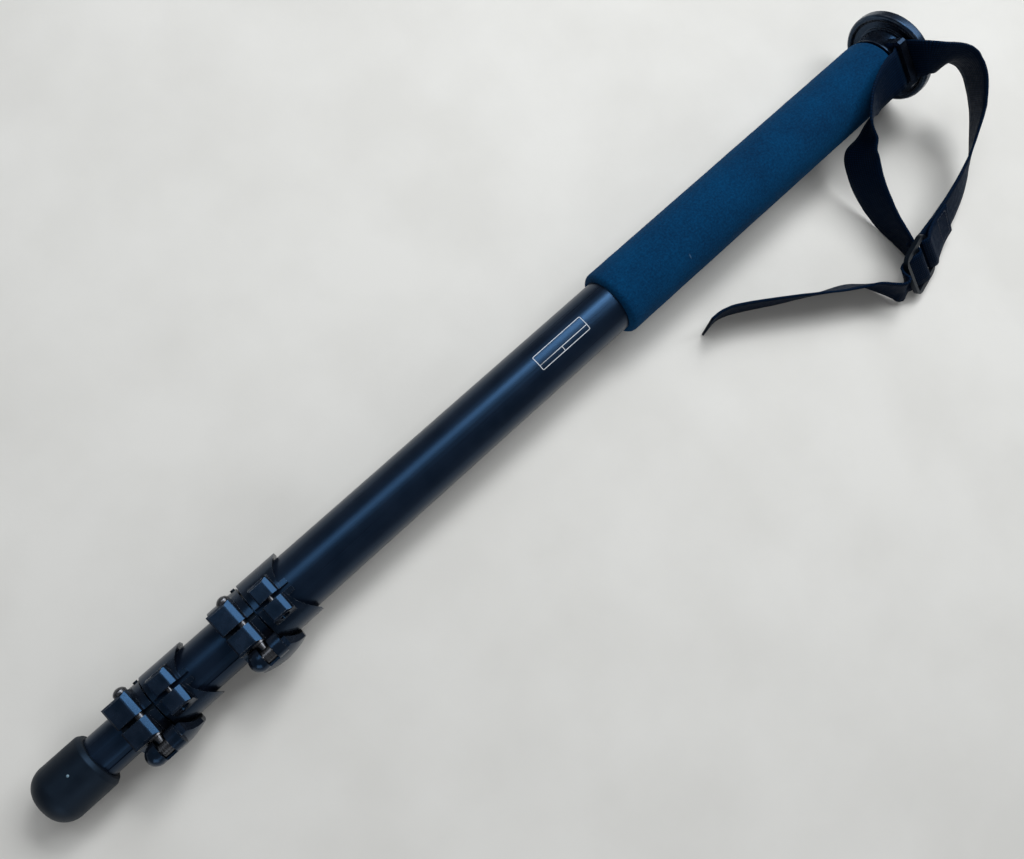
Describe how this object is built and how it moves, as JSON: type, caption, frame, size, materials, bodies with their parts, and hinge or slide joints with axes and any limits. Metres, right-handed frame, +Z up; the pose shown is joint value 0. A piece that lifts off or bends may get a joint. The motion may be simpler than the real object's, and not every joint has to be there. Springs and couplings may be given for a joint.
{
  "type": "camera monopod",
  "caption": "Telescoping camera monopod with flip locks, a round camera platform with a threaded stud, a foam grip, a wrist strap and a rubber foot, folded.",
  "frame": {"origin": "centre of the camera platform's face, where the camera stud comes out", "axes": "+X along the monopod and out of the camera platform, towards the camera; +Z up with the folded monopod lying on its side, the way that the locks' slots face; the levers and the wrist strap are on the -Y side"},
  "size_m": [0.6874, 0.1564, 0.0728],
  "materials": {
    "black_tube": "black anodised, satin",
    "black_casting": "black painted die casting, semi-gloss",
    "bright_steel": "plated",
    "dark_steel": "blackened",
    "bush_plastic": "matte",
    "black_plastic": "satin",
    "rubber": "matte",
    "foam": "matte closed-cell foam, dark blue",
    "webbing": "woven, slight sheen"
  },
  "bodies": {
    "upper_section": {"camera_plate": "black_casting", "plate_pad": "rubber", "camera_stud": "bright_steel", "plate_screws": "bright_steel", "head_hub": "black_casting", "upper_tube": "black_tube", "foam_grip": "foam", "strap_long_run": "webbing", "strap_short_run": "webbing", "strap_buckle": "black_plastic", "upper_lock_collar": "black_casting", "upper_lock_bush": "bush_plastic", "upper_lock_pinch_screw": "dark_steel", "upper_lock_pinch_nut": "dark_steel", "upper_lock_eye_bolt": "dark_steel", "upper_lock_nut": "dark_steel", "upper_lock_cam_washer": "dark_steel", "upper_lock_lever_pin": "bright_steel"},
    "upper_lever": {"upper_lock_lever": "black_casting"},
    "middle_section": {"middle_tube": "black_tube", "middle_tube_guide": "bush_plastic", "lower_lock_collar": "black_casting", "lower_lock_bush": "bush_plastic", "lower_lock_pinch_screw": "dark_steel", "lower_lock_pinch_nut": "dark_steel", "lower_lock_eye_bolt": "dark_steel", "lower_lock_nut": "dark_steel", "lower_lock_cam_washer": "dark_steel", "lower_lock_lever_pin": "bright_steel"},
    "lower_lever": {"lower_lock_lever": "black_casting"},
    "lower_section": {"lower_tube": "black_tube", "lower_tube_guide": "bush_plastic", "foot_plug": "bush_plastic", "rubber_foot": "rubber"}
  },
  "joints": [
    {"name": "upper_lever_hinge", "type": "hinge", "parent": "upper_section", "child": "upper_lever", "pos_m": [-0.5366, -0.0199, 0.0193], "axis": [-1, 0, 0], "range_deg": [0, 130]},
    {"name": "middle_slide", "type": "slide", "parent": "upper_section", "child": "middle_section", "axis": [-1, 0, 0], "range_m": [0, 0.47]},
    {"name": "lower_lever_hinge", "type": "hinge", "parent": "middle_section", "child": "lower_lever", "pos_m": [-0.6018, -0.0199, 0.0168], "axis": [-1, 0, 0], "range_deg": [0, 130]},
    {"name": "lower_slide", "type": "slide", "parent": "middle_section", "child": "lower_section", "axis": [-1, 0, 0], "range_m": [0, 0.47]}
  ]
}
